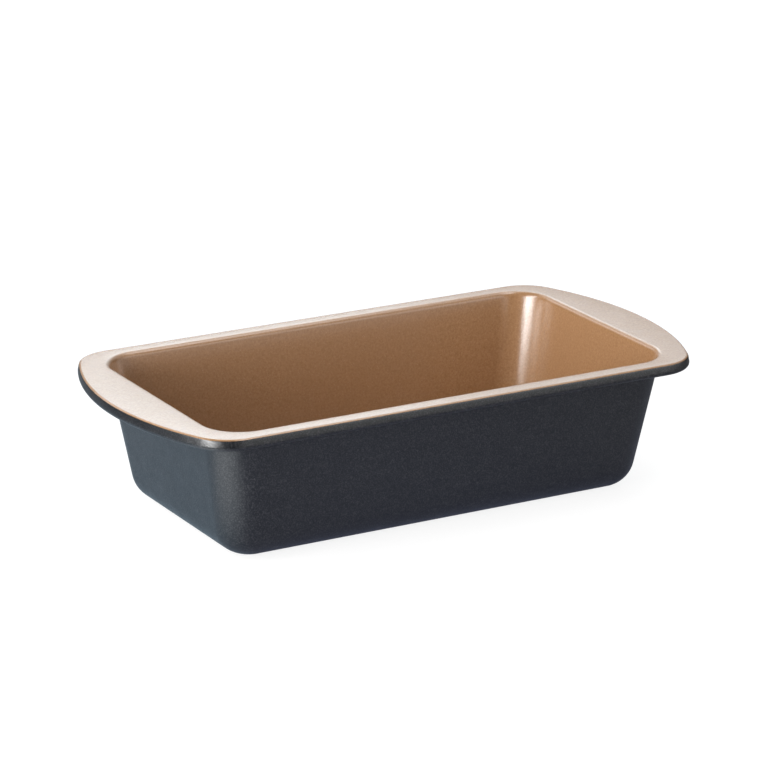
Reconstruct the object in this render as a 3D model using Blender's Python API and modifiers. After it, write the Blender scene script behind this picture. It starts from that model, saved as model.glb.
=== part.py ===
"""Loaf pan with two wide end handles.

A sheet is drawn into a tapered box, turned out into a flat rim that widens into a D-shaped handle at each
end, and rolled over a closed wire all round. A ceramic lining covers the cavity and the top of the rim.
Metres, +Z up. The origin is the middle of the base, on the table. +X runs along the pan.
"""

import math

import bpy
from mathutils import Vector

# Cavity, measured on the lining. The lengths are those where the walls would meet the level of the rim.
CAVITY_LENGTH = 0.2251
CAVITY_WIDTH = 0.1204
HEIGHT = 0.0626  # from the table to the top of the rim
END_TAPER = math.radians(9.9)
SIDE_TAPER = math.radians(8.0)
CORNER_RADIUS_AT_RIM = 0.0166
CORNER_RADIUS_AT_BASE = 0.0145
BASE_FILLET = 0.0125

# Rim and handles, in plan
SIDE_RIM_WIDTH = 0.0098  # from the cavity to the outside of the rolled edge
HANDLE_REACH = 0.0233  # from the cavity to the tip of a handle
HANDLE_ARC_RADIUS = 0.1375
RIM_CORNER_RADIUS = 0.0201

# Sheet, lining and rolled edge
SHEET = 0.0008
LINING = 0.0003
GAP = 0.0003  # clearance between pieces that touch on the real pan
RIM_BEND_RADIUS = 0.0012  # under the rim, where the wall turns outwards
WIRE_DIAMETER = 0.0024
ROLL_SEAM = 0.0009  # from the end of the roll to the underside of the rim
LINING_WRAP = math.radians(38)  # how far the lining follows the roll, from the top of the rim

# Facets
SIDE_STEPS = 2
CORNER_STEPS = 8
END_STEPS = 6
FILLET_STEPS = 6
BEND_STEPS = 4
WRAP_STEPS = 3
ROLL_QUARTER_STEPS = 4
ROLL_TAIL_STEPS = 5
WIRE_BEVEL_RESOLUTION = 3
MERGE_DISTANCE = 0.00001
SMOOTH_BELOW = math.radians(35)

# Sizes that follow from those above
SHEET_DEPTH = LINING + GAP  # from the lining's surface to the sheet
FLOOR_LEVEL = SHEET_DEPTH + SHEET
ROLL_RADIUS = WIRE_DIAMETER / 2 + GAP + SHEET  # outside of the rolled sheet
WIRE_LEVEL = HEIGHT - SHEET_DEPTH - ROLL_RADIUS
ROLL_END = 1.5 * math.pi + math.asin((ROLL_RADIUS - SHEET - ROLL_SEAM) / ROLL_RADIUS)
SHOULDER_RADIUS = RIM_BEND_RADIUS + FLOOR_LEVEL  # the same bend on the lining


def plan(x, y):
    return Vector((x, y, 0))


def direction(angle):
    return plan(math.cos(angle), math.sin(angle))


UP = Vector((0, 0, 1))


class Column:
    """One upright section of the pan, in the quarter where x and y are positive.

    The sections run from the middle of the long side, round the corner, to the middle of the end. A section
    is set by its share of the way to the corner along each straight, and by the way that its wall faces.
    """

    def __init__(self, share_x, share_y, facing):
        self.share_x = share_x
        self.share_y = share_y
        self.facing = facing
        self.out = direction(facing)
        self.rim, self.rim_out = self.rim_point()

    def wall_axis(self, level):
        """The middle of the corner's curve at a level, moved along a straight by this section's share."""
        drop = HEIGHT - level
        radius = wall_corner_radius(level)
        x = CAVITY_LENGTH / 2 - drop * math.tan(END_TAPER) - radius
        y = CAVITY_WIDTH / 2 - drop * math.tan(SIDE_TAPER) - radius
        return plan(self.share_x * x, self.share_y * y)

    def wall(self, level):
        """The point of the lining's wall at a level."""
        return self.wall_axis(level) + wall_corner_radius(level) * self.out + level * UP

    def wall_lean(self):
        """How far this section's wall leans outwards."""
        return math.atan((self.wall(HEIGHT) - self.wall(0)).dot(self.out) / HEIGHT)

    def floor_curve(self, depth):
        """The curve from the floor to the wall, at a depth behind the lining's surface."""
        lean = self.wall_lean()
        across = math.cos(lean) * self.out - math.sin(lean) * UP
        level = FLOOR_LEVEL + BASE_FILLET * (1 - math.sin(lean))
        centre = self.wall(level) - BASE_FILLET * across
        return [
            centre + (BASE_FILLET + depth) * (math.sin(turn) * self.out - math.cos(turn) * UP)
            for turn in steps(0, math.pi / 2 - lean, FILLET_STEPS)
        ]

    def rim_curve(self, depth):
        """The curve from the wall to the flat of the rim, at a depth behind the lining's surface."""
        lean = self.wall_lean()
        across = math.cos(lean) * self.out - math.sin(lean) * UP
        level = HEIGHT - SHOULDER_RADIUS * (1 - math.sin(lean))
        centre = self.wall(level) + SHOULDER_RADIUS * across
        return [
            centre + (SHOULDER_RADIUS - depth) * (math.sin(turn) * UP - math.cos(turn) * self.out)
            for turn in steps(lean, math.pi / 2, BEND_STEPS)
        ]

    def rim_point(self):
        """The outside of the rim in plan, and the way that it faces there."""
        tip = CAVITY_LENGTH / 2 + HANDLE_REACH
        half_width = CAVITY_WIDTH / 2 + SIDE_RIM_WIDTH
        arc_centre = plan(tip - HANDLE_ARC_RADIUS, 0)
        rise = half_width - RIM_CORNER_RADIUS
        run = math.sqrt((HANDLE_ARC_RADIUS - RIM_CORNER_RADIUS) ** 2 - rise**2)
        corner_centre = arc_centre + plan(run, rise)
        meeting = math.atan2(rise, run)
        if self.share_y < 1:
            facing = meeting * self.share_y
            return arc_centre + HANDLE_ARC_RADIUS * direction(facing), direction(facing)
        facing = meeting + (math.pi / 2 - meeting) * self.facing / (math.pi / 2)
        centre = plan(self.share_x * corner_centre.x, corner_centre.y)
        return centre + RIM_CORNER_RADIUS * direction(facing), direction(facing)

    def wire_centre(self):
        return self.rim - ROLL_RADIUS * self.rim_out

    def roll(self, radius, turns):
        """Points about the wire, at turns from the top of the rim outwards and down."""
        centre = self.wire_centre() + WIRE_LEVEL * UP
        return [
            centre + radius * (math.sin(turn) * self.rim_out + math.cos(turn) * UP) for turn in turns
        ]


def steps(first, last, count):
    return [first + (last - first) * i / count for i in range(count + 1)]


def wall_corner_radius(level):
    return CORNER_RADIUS_AT_BASE + (CORNER_RADIUS_AT_RIM - CORNER_RADIUS_AT_BASE) * level / HEIGHT


def quarter_columns():
    side = [Column(share, 1, math.pi / 2) for share in steps(0, 1, SIDE_STEPS)]
    corner = [Column(1, 1, facing) for facing in steps(math.pi / 2, 0, CORNER_STEPS)]
    end = [Column(1, share, 0) for share in steps(1, 0, END_STEPS)]
    return side[:-1] + corner + end[1:]


def quarter_skin(sections):
    """Vertices and faces of a quarter of the pan: a flat floor and a strip of quads between sections."""
    rows = len(sections[0])
    floor_middle = Vector((0, 0, sections[0][0].z))
    points = [floor_middle] + [point for section in sections for point in section]
    first = [1 + rows * i for i in range(len(sections))]
    faces = [[0] + first]
    for left, right in zip(first, first[1:]):
        faces += [(left + row, left + row + 1, right + row + 1, right + row) for row in range(rows - 1)]
    return points, faces


def material(name, colour, roughness, metallic):
    made = bpy.data.materials.new(name)
    made.use_nodes = True
    shader = made.node_tree.nodes["Principled BSDF"]
    shader.inputs["Base Color"].default_value = (*colour, 1)
    shader.inputs["Roughness"].default_value = roughness
    shader.inputs["Metallic"].default_value = metallic
    return made


def add_shell(name, sections, thickness, finish, collection, parent):
    """A shell that grows from its drawn skin towards the outside of the pan."""
    points, faces = quarter_skin(sections)
    mesh = bpy.data.meshes.new(name)
    mesh.from_pydata(points, [], faces)
    mesh.shade_smooth()
    mesh.set_sharp_from_angle(angle=SMOOTH_BELOW)
    mesh.materials.append(finish)
    shell = bpy.data.objects.new(name, mesh)
    collection.objects.link(shell)
    shell.parent = parent

    mirror = shell.modifiers.new("Four quarters", "MIRROR")
    mirror.use_axis = (True, True, False)
    mirror.merge_threshold = MERGE_DISTANCE

    solidify = shell.modifiers.new("Thickness", "SOLIDIFY")
    solidify.thickness = thickness
    solidify.offset = 1
    solidify.use_even_offset = True
    solidify.use_quality_normals = True
    return shell


def add_rim_wire(columns, finish, collection, parent):
    """The closed wire that the rim is rolled over."""
    quarter = [column.wire_centre() for column in columns]
    half = quarter + [plan(point.x, -point.y) for point in reversed(quarter[:-1])]
    loop = half + [plan(-point.x, point.y) for point in reversed(half[1:-1])]
    curve = bpy.data.curves.new("rim_wire", "CURVE")
    curve.dimensions = "3D"
    curve.bevel_depth = WIRE_DIAMETER / 2
    curve.bevel_resolution = WIRE_BEVEL_RESOLUTION
    spline = curve.splines.new("POLY")
    spline.points.add(len(loop) - 1)
    for point, place in zip(spline.points, loop):
        point.co = (*place, 1)
    spline.use_cyclic_u = True
    spline.use_smooth = True
    curve.materials.append(finish)
    wire = bpy.data.objects.new("rim_wire", curve)
    collection.objects.link(wire)
    wire.location = WIRE_LEVEL * UP
    wire.parent = parent
    return wire


def clear_scene():
    for obj in list(bpy.data.objects):
        bpy.data.objects.remove(obj, do_unlink=True)


def main():
    clear_scene()
    collection = bpy.data.collections.new("loaf_pan")
    bpy.context.scene.collection.children.link(collection)
    pan = bpy.data.objects.new("loaf_pan_origin", None)
    collection.objects.link(pan)

    black_finish = material("black_finish", (0.014, 0.014, 0.016), 0.38, 0.0)
    copper_ceramic = material("copper_ceramic", (0.45, 0.23, 0.11), 0.3, 0.0)
    wire_steel = material("wire_steel", (0.5, 0.5, 0.5), 0.35, 1.0)

    columns = quarter_columns()
    half_roll = steps(0, math.pi, 2 * ROLL_QUARTER_STEPS)
    tail = steps(math.pi, ROLL_END, ROLL_TAIL_STEPS)[1:]
    wrap = steps(0, LINING_WRAP, WRAP_STEPS)
    body = [
        column.floor_curve(SHEET_DEPTH)
        + column.rim_curve(SHEET_DEPTH)
        + column.roll(ROLL_RADIUS, half_roll + tail)
        for column in columns
    ]
    lining = [
        column.floor_curve(0) + column.rim_curve(0) + column.roll(ROLL_RADIUS + SHEET_DEPTH, wrap)
        for column in columns
    ]
    add_shell("pan_body", body, SHEET, black_finish, collection, pan)
    add_shell("ceramic_lining", lining, LINING, copper_ceramic, collection, pan)
    add_rim_wire(columns, wire_steel, collection, pan)


main()
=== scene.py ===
"""Looks of the loaf pan: fine shells with a satin black finish and a copper ceramic lining, in soft light.

Metres, +Z up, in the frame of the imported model. +X runs along the pan.
"""

import math

import bpy
from mathutils import Matrix, Vector


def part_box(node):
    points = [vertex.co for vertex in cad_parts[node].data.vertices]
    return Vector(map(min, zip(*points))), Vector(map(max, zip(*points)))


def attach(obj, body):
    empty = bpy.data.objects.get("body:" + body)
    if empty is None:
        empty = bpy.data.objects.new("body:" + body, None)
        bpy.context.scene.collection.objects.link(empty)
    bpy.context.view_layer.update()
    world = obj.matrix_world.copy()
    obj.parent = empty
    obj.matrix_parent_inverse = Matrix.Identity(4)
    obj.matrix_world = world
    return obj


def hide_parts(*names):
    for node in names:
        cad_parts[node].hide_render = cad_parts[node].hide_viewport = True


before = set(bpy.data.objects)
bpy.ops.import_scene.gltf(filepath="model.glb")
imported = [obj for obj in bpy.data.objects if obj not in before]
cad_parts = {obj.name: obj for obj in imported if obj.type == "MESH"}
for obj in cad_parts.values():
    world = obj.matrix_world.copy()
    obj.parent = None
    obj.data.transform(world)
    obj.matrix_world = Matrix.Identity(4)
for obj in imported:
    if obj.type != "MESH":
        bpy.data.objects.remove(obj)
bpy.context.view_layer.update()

# Cavity, measured on the lining. The lengths are those where the walls would meet the level of the rim.
CAVITY_LENGTH = 0.2251
CAVITY_WIDTH = 0.1204
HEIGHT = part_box("ceramic_lining")[1].z
END_TAPER = math.radians(9.9)
SIDE_TAPER = math.radians(8.0)
CORNER_RADIUS_AT_RIM = 0.0166
CORNER_RADIUS_AT_BASE = 0.0145
BASE_FILLET = 0.0125

# Rim and handles, in plan
RIM_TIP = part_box("pan_body")[1].x
RIM_HALF_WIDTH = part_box("pan_body")[1].y
HANDLE_ARC_RADIUS = 0.1375
RIM_CORNER_RADIUS = 0.0201

# Sheet and lining
SHEET = 0.0008
SHEET_DEPTH = 0.0006  # from the lining's surface to the sheet of the solid model
LINING = 0.0003
LINING_FIT = 0.00004  # between the lining and the recess that it lies in
RIM_BEND_RADIUS = 0.0012  # on the underside

# Rolled edge: an arc down from the rim's flat, a flat side that leans, and an arc in to the round curl
WIRE_DIAMETER = 0.0024
WIRE_GAP = 0.0003
ROLL_SEAM = 0.0009  # between the end of the curl and the rim's underside
ROLL_LEAN = math.radians(11)
SHOULDER_ARC = 0.0013
FOOT_ARC = 0.0017
LINING_WRAP = math.radians(51)  # how far the lining reaches round the shoulder

# Mesh density
SIDE_STEPS = 12
CORNER_STEPS = 26
END_STEPS = 18
FILLET_STEPS = 12
WALL_STEPS = 6
BEND_STEPS = 9
FLAT_STEPS = 2
WRAP_STEPS = 8
ROLL_STEPS = 14
MERGE_DISTANCE = 0.00001
SHARP_ANGLE = math.radians(40)

# Camera
CAMERA_AZIMUTH = math.radians(-29.91)
CAMERA_ELEVATION = math.radians(18.06)
CAMERA_ROLL = math.radians(0.37)
CAMERA_DISTANCE = 1.6477
CAMERA_RIGHT = -0.00036
CAMERA_UP = 0.0144
CAMERA_TARGET = Vector((0, 0, 0.035))
SENSOR_WIDTH = 36.0
FOCAL_PIXELS = 3696
IMAGE_WIDTH = 768

# Lamps and world
LAMP_DISTANCE = 1.6
WIDEST_PANEL = 30  # degrees
COOL_WHITE = (0.88, 1, 1.06)
WORLD_LIGHT = 0.03

# Floor
FLOOR_SIZE = 12.0
FLOOR_DROP = 0.0001
FLOOR_COLOUR = (0.86, 0.86, 0.86)
SHADOW_FADE_FROM = 0.4  # from the middle of the pan
SHADOW_FADE_TO = 1.6

# Painted reflection of the floor: colours that the floor glows in only for glossy rays, so that the pan's
# gloss shows a painted slate tint, paler past the left end and behind, a painted bright patch near the left
# front corner, and painted darkness further away
PAINTED_REFLECTION_SLATE = (0.15, 0.17, 0.26)
PAINTED_REFLECTION_PALE = (0.29, 0.41, 0.52)
LEFT_AND_BACK = (-1, 1, 0)
PAINTED_PALE_FROM = 0.04  # along that direction
PAINTED_PALE_TO = 0.08
# Painted highlight in reflection: a glowing patch on the floor that stands in for bright light beside the pan
PAINTED_GLOW_PATCH = (1.2, 1.3, 1.4)
PAINTED_GLOW_PLACE = (-0.178, -0.066, 0)
PAINTED_GLOW_CORE = 0.02
PAINTED_GLOW_EDGE = 0.08
# Painted dark reflection: the floor's glow fades to this far from the pan
PAINTED_DARK_REFLECTION = (0.03, 0.03, 0.035)
PAINTED_DARK_CENTRE = (-0.1, 0, 0)
PAINTED_DARK_FROM = 0.14
PAINTED_DARK_TO = 0.42

# Sizes that follow from those above
SHEET_OUTSIDE = SHEET_DEPTH + SHEET
BASE_LEVEL = SHEET_OUTSIDE  # of the lining's surface on the base
LINING_BEND_RADIUS = RIM_BEND_RADIUS + SHEET_OUTSIDE
ROLL_RADIUS = WIRE_DIAMETER / 2 + WIRE_GAP + SHEET
WIRE_LEVEL = HEIGHT - SHEET_DEPTH - ROLL_RADIUS
ROLL_END = 1.5 * math.pi + math.asin((ROLL_RADIUS - SHEET - ROLL_SEAM) / ROLL_RADIUS)
SHOULDER_LEVEL = ROLL_RADIUS + SHEET_DEPTH - SHOULDER_ARC
FOOT_LEVEL = FOOT_ARC - ROLL_RADIUS
ROLL_SIDE_HEIGHT = SHOULDER_LEVEL - FOOT_LEVEL + (SHOULDER_ARC - FOOT_ARC) * math.sin(ROLL_LEAN)
FOOT_OUT = ROLL_RADIUS - FOOT_ARC
SHOULDER_OUT = (
    FOOT_OUT + (FOOT_ARC - SHOULDER_ARC) * math.cos(ROLL_LEAN) - ROLL_SIDE_HEIGHT * math.tan(ROLL_LEAN)
)
UP = Vector((0, 0, 1))


def plan(x, y):
    return Vector((x, y, 0))


def direction(angle):
    return plan(math.cos(angle), math.sin(angle))


def seen_from(azimuth, elevation):
    """The way from the pan to who looks at it. Azimuth 0 faces the long side, and 90 degrees is its right."""
    level = plan(math.sin(azimuth), -math.cos(azimuth))
    return math.cos(elevation) * level + math.sin(elevation) * UP


def steps(first, last, count):
    return [first + (last - first) * i / count for i in range(count + 1)]


def wall_corner_radius(level):
    return CORNER_RADIUS_AT_BASE + (CORNER_RADIUS_AT_RIM - CORNER_RADIUS_AT_BASE) * level / HEIGHT


class Column:
    """One upright section of the pan, in the quarter where x and y are positive.

    The shares place it along the straight parts of the wall, and facing is the wall's direction in plan.
    """

    def __init__(self, share_x, share_y, facing):
        self.share_x = share_x
        self.share_y = share_y
        self.facing = facing
        self.out = direction(facing)
        self.rim, self.rim_out = self.rim_point()

    def wall(self, level):
        """The point of the lining's wall at a level."""
        drop = HEIGHT - level
        radius = wall_corner_radius(level)
        x = CAVITY_LENGTH / 2 - drop * math.tan(END_TAPER) - radius
        y = CAVITY_WIDTH / 2 - drop * math.tan(SIDE_TAPER) - radius
        return plan(self.share_x * x, self.share_y * y) + radius * self.out + level * UP

    def wall_lean(self):
        return math.atan((self.wall(HEIGHT) - self.wall(0)).dot(self.out) / HEIGHT)

    def base_curve(self, depth):
        """The curve from the base to the wall, at a depth behind the lining's surface."""
        lean = self.wall_lean()
        across = math.cos(lean) * self.out - math.sin(lean) * UP
        level = BASE_LEVEL + BASE_FILLET * (1 - math.sin(lean))
        centre = self.wall(level) - BASE_FILLET * across
        return [
            centre + (BASE_FILLET + depth) * (math.sin(turn) * self.out - math.cos(turn) * UP)
            for turn in steps(0, math.pi / 2 - lean, FILLET_STEPS)
        ]

    def rim_curve(self, depth):
        """The curve from the wall to the flat of the rim, at a depth behind the lining's surface."""
        lean = self.wall_lean()
        across = math.cos(lean) * self.out - math.sin(lean) * UP
        level = HEIGHT - LINING_BEND_RADIUS * (1 - math.sin(lean))
        centre = self.wall(level) + LINING_BEND_RADIUS * across
        return [
            centre + (LINING_BEND_RADIUS - depth) * (math.sin(turn) * UP - math.cos(turn) * self.out)
            for turn in steps(lean, math.pi / 2, BEND_STEPS)
        ]

    def rim_point(self):
        """The outside of the rim in plan, and the way that it faces there."""
        arc_centre = plan(RIM_TIP - HANDLE_ARC_RADIUS, 0)
        rise = RIM_HALF_WIDTH - RIM_CORNER_RADIUS
        run = math.sqrt((HANDLE_ARC_RADIUS - RIM_CORNER_RADIUS) ** 2 - rise**2)
        corner_centre = arc_centre + plan(run, rise)
        meeting = math.atan2(rise, run)
        if self.share_y < 1:
            facing = meeting * self.share_y
            return arc_centre + HANDLE_ARC_RADIUS * direction(facing), direction(facing)
        facing = meeting + (math.pi / 2 - meeting) * self.facing / (math.pi / 2)
        centre = plan(self.share_x * corner_centre.x, corner_centre.y)
        return centre + RIM_CORNER_RADIUS * direction(facing), direction(facing)

    def arc_point(self, turn, radius, out=0, level=0):
        """A point about a centre near the wire, at a turn from straight up outwards and down."""
        centre = self.rim + (out - ROLL_RADIUS) * self.rim_out + (WIRE_LEVEL + level) * UP
        return centre + radius * (math.sin(turn) * self.rim_out + math.cos(turn) * UP)

    def shoulder_point(self, turn, depth):
        """A point of the arc that turns the rim's flat down, at a depth behind the lining's surface."""
        return self.arc_point(turn, SHOULDER_ARC - depth, SHOULDER_OUT, SHOULDER_LEVEL)

    def dish(self, depth):
        """The curve from the base up to the start of the roll, at a depth behind the lining's surface."""
        low, top = self.base_curve(depth), self.rim_curve(depth)
        start = self.shoulder_point(0, depth)
        wall = [low[-1].lerp(top[0], share) for share in steps(0, 1, WALL_STEPS)[1:-1]]
        flat = [top[-1].lerp(start, share) for share in steps(0, 1, FLAT_STEPS)[1:-1]]
        return low + wall + top + flat

    def lining_section(self):
        """The lining's two skins, from the middle of the base to where the black finish starts."""
        turns = steps(0, LINING_WRAP, WRAP_STEPS)
        return [
            self.dish(depth) + [self.shoulder_point(turn, depth) for turn in turns] for depth in (0, LINING)
        ]

    def body_section(self):
        """The sheet's two skins, from the middle of the base to the end of the curl."""
        recess = LINING + LINING_FIT
        step = LINING_WRAP + LINING_FIT / SHOULDER_ARC
        side = math.pi / 2 - ROLL_LEAN
        seat = [self.shoulder_point(turn, recess) for turn in steps(0, step, WRAP_STEPS)]
        shoulder = [self.shoulder_point(turn, 0) for turn in steps(step, side, WRAP_STEPS)]
        foot = [
            self.arc_point(turn, FOOT_ARC, FOOT_OUT, FOOT_LEVEL) for turn in steps(side, math.pi, ROLL_STEPS)
        ]
        curl = [self.arc_point(turn, ROLL_RADIUS) for turn in steps(math.pi, ROLL_END, ROLL_STEPS)]
        upper = self.dish(recess) + seat + shoulder + foot + curl
        inside = [self.arc_point(turn, ROLL_RADIUS - SHEET) for turn in steps(0, ROLL_END, 2 * ROLL_STEPS)]
        return [upper, self.dish(SHEET_OUTSIDE) + inside]


def quarter_columns():
    side = [Column(share, 1, math.pi / 2) for share in steps(0, 1, SIDE_STEPS)]
    corner = [Column(1, 1, facing) for facing in steps(math.pi / 2, 0, CORNER_STEPS)]
    end = [Column(1, share, 0) for share in steps(1, 0, END_STEPS)]
    return side[:-1] + corner + end[1:]


def skin(sections, upward, start):
    """A flat base and a strip of quads between sections, with its points numbered from start."""
    rows = len(sections[0])
    points = [sections[0][0].z * UP] + [point for section in sections for point in section]
    first = [start + 1 + rows * i for i in range(len(sections))]
    faces = [[start, *pair] for pair in zip(first, first[1:])]
    for left, right in zip(first, first[1:]):
        faces += [(left + row, left + row + 1, right + row + 1, right + row) for row in range(rows - 1)]
    if not upward:
        faces = [tuple(reversed(face)) for face in faces]
    ends = [corner + rows - 1 for corner in first]
    return points, faces, ends


def add_shell(name, sections, node, finish):
    """A closed shell between two skins, mirrored from one quarter to four."""
    upper_points, upper_faces, upper_ends = skin([pair[0] for pair in sections], False, 0)
    lower_points, lower_faces, lower_ends = skin([pair[1] for pair in sections], True, len(upper_points))
    edge = [(a, b, d, c) for a, b, c, d in zip(upper_ends, upper_ends[1:], lower_ends, lower_ends[1:])]
    mesh = bpy.data.meshes.new(name)
    mesh.from_pydata(upper_points + lower_points, [], upper_faces + lower_faces + edge)
    mesh.materials.append(finish)
    shell = bpy.data.objects.new(name, mesh)
    bpy.context.scene.collection.objects.link(shell)
    mirror = shell.modifiers.new("Four quarters", "MIRROR")
    mirror.use_axis = (True, True, False)
    mirror.merge_threshold = MERGE_DISTANCE
    mesh.shade_smooth()
    mesh.set_sharp_from_angle(angle=SHARP_ANGLE)
    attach(shell, "root")
    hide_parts(node)


class Shader:
    """A material's node tree, with short calls for the nodes used here."""

    def __init__(self, name):
        self.material = bpy.data.materials.new(name)
        self.material.use_nodes = True
        self.tree = self.material.node_tree
        self.bsdf = self.tree.nodes["Principled BSDF"]
        self.place = self.tree.nodes.new("ShaderNodeTexCoord").outputs["Object"]

    def link(self, source, target):
        self.tree.links.new(source, target)

    def noise(self, size, detail=2.0, roughness=0.5, height=None):
        """Soft blotches of about a size, in metres, drawn out upwards to a height where one is given."""
        node = self.tree.nodes.new("ShaderNodeTexNoise")
        node.inputs["Scale"].default_value = 1 / size
        node.inputs["Detail"].default_value = detail
        node.inputs["Roughness"].default_value = roughness
        stretch = self.tree.nodes.new("ShaderNodeMapping")
        stretch.inputs["Scale"].default_value = (1, 1, size / (height or size))
        self.link(self.place, stretch.inputs["Vector"])
        self.link(stretch.outputs["Vector"], node.inputs["Vector"])
        return node.outputs["Fac"]

    def cells(self, size):
        """The distance to the nearest of points scattered about a size apart, in shares of it."""
        node = self.tree.nodes.new("ShaderNodeTexVoronoi")
        node.inputs["Scale"].default_value = 1 / size
        self.link(self.place, node.inputs["Vector"])
        return node.outputs["Distance"]

    def measure(self, operation, vector=(0, 0, 0)):
        """A number worked out from the place on the surface and a vector."""
        node = self.tree.nodes.new("ShaderNodeVectorMath")
        node.operation = operation
        node.inputs[1].default_value = vector
        self.link(self.place, node.inputs[0])
        return node.outputs["Value"]

    def span(self, value, from_low, from_high, to_low=0, to_high=1, easing="LINEAR"):
        """A number moved from one range to another, and held at the second one's ends."""
        node = self.tree.nodes.new("ShaderNodeMapRange")
        node.interpolation_type = easing
        for name, number in zip(
            ("From Min", "From Max", "To Min", "To Max"), (from_low, from_high, to_low, to_high)
        ):
            node.inputs[name].default_value = number
        self.link(value, node.inputs["Value"])
        return node.outputs["Result"]

    def product(self, first, second):
        node = self.tree.nodes.new("ShaderNodeMath")
        node.operation = "MULTIPLY"
        self.link(first, node.inputs[0])
        self.link(second, node.inputs[1])
        return node.outputs["Value"]

    def blend(self, share, first, second):
        """A colour between two, each a triple or another node's output."""
        node = self.tree.nodes.new("ShaderNodeMix")
        node.data_type = "RGBA"
        self.link(share, node.inputs["Factor"])
        for socket, colour in ((node.inputs[6], first), (node.inputs[7], second)):
            if isinstance(colour, tuple):
                socket.default_value = (*colour, 1)
            else:
                self.link(colour, socket)
        return node.outputs[2]

    def bump(self, height, depth, below=None):
        """A relief of a depth in metres, on top of another relief."""
        node = self.tree.nodes.new("ShaderNodeBump")
        node.inputs["Distance"].default_value = depth
        self.link(height, node.inputs["Height"])
        if below is not None:
            self.link(below, node.inputs["Normal"])
        return node.outputs["Normal"]

    def cover(self, share, under, over):
        """A surface with another one laid over it by a share."""
        node = self.tree.nodes.new("ShaderNodeMixShader")
        self.link(share, node.inputs[0])
        self.link(under.outputs[0], node.inputs[1])
        self.link(over.outputs[0], node.inputs[2])
        return node


def black_finish():
    """Satin black baked-on finish with a fine grain."""
    shader = Shader("black_finish_look")
    ground, speck = (0.002, 0.003, 0.005), (0.054, 0.055, 0.06)
    grain = shader.noise(0.0006, detail=1.0, roughness=0.6)
    mottle = shader.noise(0.006, detail=3.0)
    shader.link(shader.blend(shader.span(grain, 0.44, 0.79), ground, speck), shader.bsdf.inputs["Base Color"])
    shader.link(shader.span(mottle, 0.3, 0.7, 0.28, 0.36), shader.bsdf.inputs["Roughness"])
    shader.bsdf.inputs["IOR"].default_value = 1.8
    relief = shader.bump(grain, 0.00005)
    relief = shader.bump(mottle, 0.00002, relief)
    shader.link(relief, shader.bsdf.inputs["Normal"])
    return shader.material


def copper_ceramic():
    """Copper-brown ceramic coat under a clear glaze, with a sandy grain, a mottle and faint draw lines."""
    shader = Shader("copper_ceramic_look")
    deep, light = (0.308, 0.163, 0.073), (0.434, 0.239, 0.113)
    clouded, flecked = (0.36, 0.193, 0.091), (0.58, 0.38, 0.23)
    grain = shader.noise(0.001, detail=3.0, roughness=0.75)
    mottle = shader.noise(0.006, detail=3.0)
    cloud = shader.noise(0.05)
    lines = shader.noise(0.0016, height=0.04)
    sand = shader.blend(shader.span(grain, 0.32, 0.68), deep, light)
    tone = shader.blend(shader.span(cloud, 0.35, 0.65, 0, 0.35), sand, clouded)
    fleck = shader.span(shader.cells(0.0012), 0.08, 0.2, 0.35, 0)
    shader.link(shader.blend(fleck, tone, flecked), shader.bsdf.inputs["Base Color"])
    shader.link(shader.span(mottle, 0.3, 0.7, 0.46, 0.54), shader.bsdf.inputs["Roughness"])
    shader.bsdf.inputs["IOR"].default_value = 1.3
    shader.bsdf.inputs["Coat Weight"].default_value = 1
    shader.bsdf.inputs["Coat Roughness"].default_value = 0.21
    shader.bsdf.inputs["Coat IOR"].default_value = 1.8
    relief = shader.bump(grain, 0.00005)
    relief = shader.bump(lines, 0.00004, relief)
    relief = shader.bump(mottle, 0.00003, relief)
    relief = shader.bump(cloud, 0.0001, relief)
    shader.link(relief, shader.bsdf.inputs["Normal"])
    shader.link(relief, shader.bsdf.inputs["Coat Normal"])
    return shader.material


def wire_steel():
    """Drawn steel wire, a little uneven."""
    shader = Shader("wire_steel_look")
    dull, bright = (0.42, 0.42, 0.43), (0.55, 0.55, 0.55)
    mottle = shader.noise(0.0008, detail=3.0)
    shader.link(shader.blend(mottle, dull, bright), shader.bsdf.inputs["Base Color"])
    shader.link(shader.span(mottle, 0.3, 0.7, 0.3, 0.45), shader.bsdf.inputs["Roughness"])
    shader.bsdf.inputs["Metallic"].default_value = 1
    return shader.material


def painted_floor_reflection(shader):
    """A painted reflection: the colours that the floor glows in where the pan's gloss shows it, with a
    painted bright patch and painted darkness further away.
    """
    # Masks of the painted reflection: paler towards the left and back, a glowing patch, and darkness far from
    # the pan
    paler_reflection_share = shader.span(shader.measure("DOT_PRODUCT", LEFT_AND_BACK), PAINTED_PALE_FROM, PAINTED_PALE_TO)
    glow_patch_share = shader.span(shader.measure("DISTANCE", PAINTED_GLOW_PLACE), PAINTED_GLOW_EDGE, PAINTED_GLOW_CORE, easing="SMOOTHSTEP")
    dark_reflection_share = shader.span(shader.measure("DISTANCE", PAINTED_DARK_CENTRE), PAINTED_DARK_FROM, PAINTED_DARK_TO)
    return shader.blend(dark_reflection_share, shader.blend(glow_patch_share, shader.blend(paler_reflection_share, PAINTED_REFLECTION_SLATE, PAINTED_REFLECTION_PALE), PAINTED_GLOW_PATCH), PAINTED_DARK_REFLECTION)


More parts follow.
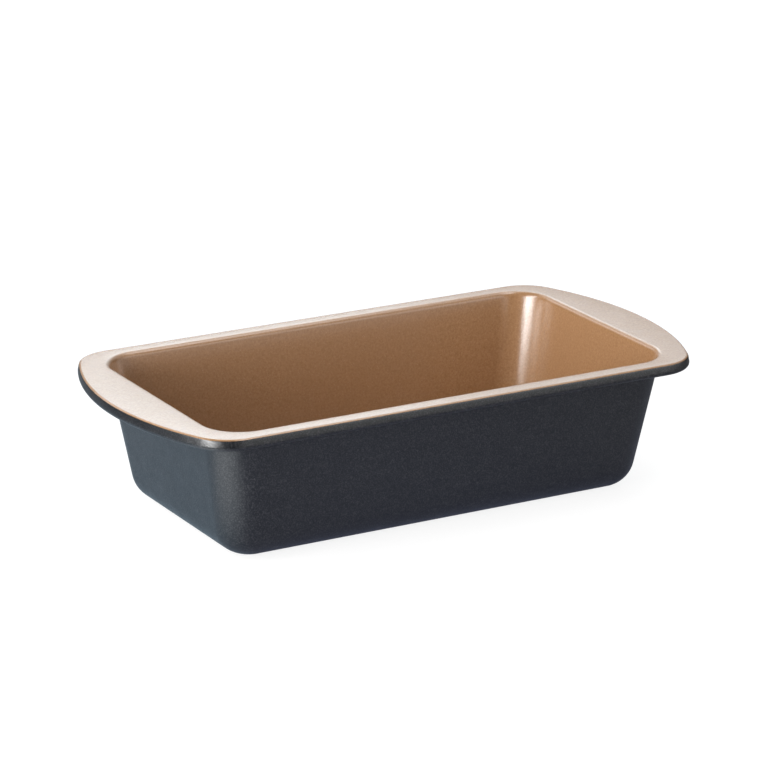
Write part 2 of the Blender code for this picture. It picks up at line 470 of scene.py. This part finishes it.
def floor_material():
    """White for the camera, with the pan's shadow left on it, and glowing with a painted reflection for
    glossy rays.
    """
    shader = Shader("floor_white")
    nodes = shader.tree.nodes
    nodes.remove(shader.bsdf)
    surface = nodes.new("ShaderNodeBsdfDiffuse")
    surface.inputs["Color"].default_value = (*FLOOR_COLOUR, 1)
    rays = nodes.new("ShaderNodeLightPath")
    reach = shader.measure("LENGTH")
    for ray, strength, share_near in (
        ("Is Camera Ray", 1.2, 0.72), ("Is Glossy Ray", 1.0, 0.85), ("Is Transmission Ray", 1.0, 0.7)
    ):
        glow = nodes.new("ShaderNodeEmission")
        glow.inputs["Strength"].default_value = strength
        # Glossy rays see the painted reflection in place of the plain white glow
        if ray == "Is Glossy Ray":
            shader.link(painted_floor_reflection(shader), glow.inputs["Color"])
        share = shader.span(reach, SHADOW_FADE_FROM, SHADOW_FADE_TO, share_near, 1)
        surface = shader.cover(shader.product(rays.outputs[ray], share), surface, glow)
    facing = nodes.new("ShaderNodeNewGeometry")
    see_through = nodes.new("ShaderNodeBsdfTransparent")
    surface = shader.cover(facing.outputs["Backfacing"], surface, see_through)
    shader.link(surface.outputs[0], nodes["Material Output"].inputs["Surface"])
    return shader.material


def add_floor():
    bpy.ops.mesh.primitive_plane_add(size=FLOOR_SIZE, location=(0, 0, -FLOOR_DROP))
    floor = bpy.context.object
    floor.name = "floor"
    floor.data.materials.append(floor_material())


def add_softbox(name, azimuths, elevations, radiance, colour=(1, 1, 1)):
    """A soft lamp of flat panels that face the pan and together span some degrees, as seen from it."""
    count = math.ceil((azimuths[1] - azimuths[0]) / WIDEST_PANEL)
    half_wide = math.radians(azimuths[1] - azimuths[0]) / count / 2
    half_high = math.radians(elevations[1] - elevations[0]) / 2
    elevation = math.radians(sum(elevations) / 2)
    for index in range(count):
        back = seen_from(math.radians(azimuths[0]) + (2 * index + 1) * half_wide, elevation)
        lamp = bpy.data.lights.new(name, "AREA")
        lamp.shape = "RECTANGLE"
        lamp.size = 2 * LAMP_DISTANCE * math.tan(half_wide) * math.cos(elevation)
        lamp.size_y = 2 * LAMP_DISTANCE * math.tan(half_high)
        lamp.energy = radiance * math.pi * lamp.size * lamp.size_y
        lamp.color = colour
        panel = bpy.data.objects.new(name, lamp)
        panel.location = CAMERA_TARGET + LAMP_DISTANCE * back
        panel.rotation_euler = back.to_track_quat("Z", "Y").to_euler()
        panel.visible_camera = False
        bpy.context.scene.collection.objects.link(panel)


def add_world():
    """White where the camera looks, and a dim even studio for the light."""
    world = bpy.data.worlds.new("studio")
    world.use_nodes = True
    nodes, links = world.node_tree.nodes, world.node_tree.links
    background = nodes["Background"]
    rays = nodes.new("ShaderNodeLightPath")
    strength = nodes.new("ShaderNodeMapRange")
    strength.inputs["To Min"].default_value = WORLD_LIGHT
    links.new(rays.outputs["Is Camera Ray"], strength.inputs["Value"])
    links.new(strength.outputs["Result"], background.inputs["Strength"])
    background.inputs["Color"].default_value = (1, 1, 1, 1)
    bpy.context.scene.world = world


def add_camera():
    """The camera, level but for a slight roll, and shifted a little in its own picture plane."""
    back = seen_from(CAMERA_AZIMUTH, CAMERA_ELEVATION)
    level_right = direction(CAMERA_AZIMUTH)
    level_up = back.cross(level_right)
    right = math.cos(CAMERA_ROLL) * level_right + math.sin(CAMERA_ROLL) * level_up
    up = math.cos(CAMERA_ROLL) * level_up - math.sin(CAMERA_ROLL) * level_right
    place = CAMERA_TARGET + CAMERA_DISTANCE * back + CAMERA_RIGHT * right + CAMERA_UP * up
    data = bpy.data.cameras.new("camera")
    data.sensor_width = SENSOR_WIDTH
    data.lens = SENSOR_WIDTH * FOCAL_PIXELS / IMAGE_WIDTH
    camera = bpy.data.objects.new("camera", data)
    turned = Matrix((right, up, back)).transposed().to_4x4()
    camera.matrix_world = Matrix.Translation(place) @ turned
    bpy.context.scene.collection.objects.link(camera)
    bpy.context.scene.camera = camera


columns = quarter_columns()
add_shell(
    "black_body", [column.body_section() for column in columns], "pan_body", black_finish()
)
add_shell(
    "copper_lining",
    [column.lining_section() for column in columns],
    "ceramic_lining",
    copper_ceramic(),
)
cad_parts["rim_wire"].material_slots[0].material = wire_steel()

add_floor()
add_world()
add_softbox("key_core", (-75, -57), (1, 18), 15)
add_softbox("key_side", (-90, -75), (1, 30), 10.5)
add_softbox("key_upper", (-75, -60), (18, 30), 5.5)
add_softbox("left_high", (-110, -75), (30, 48), 7.3)
add_softbox("back_main", (147, 170), (18, 36), 3.4, COOL_WHITE)
add_softbox("back_right", (130, 147), (18, 36), 2.1, COOL_WHITE)
add_softbox("back_high", (130, 220), (36, 56), 1.2)
add_softbox("back_left", (190, 210), (18, 36), 2.4)
add_softbox("back_low", (120, 190), (2, 18), 0.6)
add_softbox("front_low", (0, 80), (1, 16), 1)
add_softbox("front_right", (20, 50), (16, 34), 2)
add_softbox("right_high", (60, 130), (25, 50), 0.7)
add_softbox("overhead", (20, 135), (56, 80), 3.1)
add_camera()

bpy.context.scene.view_settings.view_transform = "Standard"
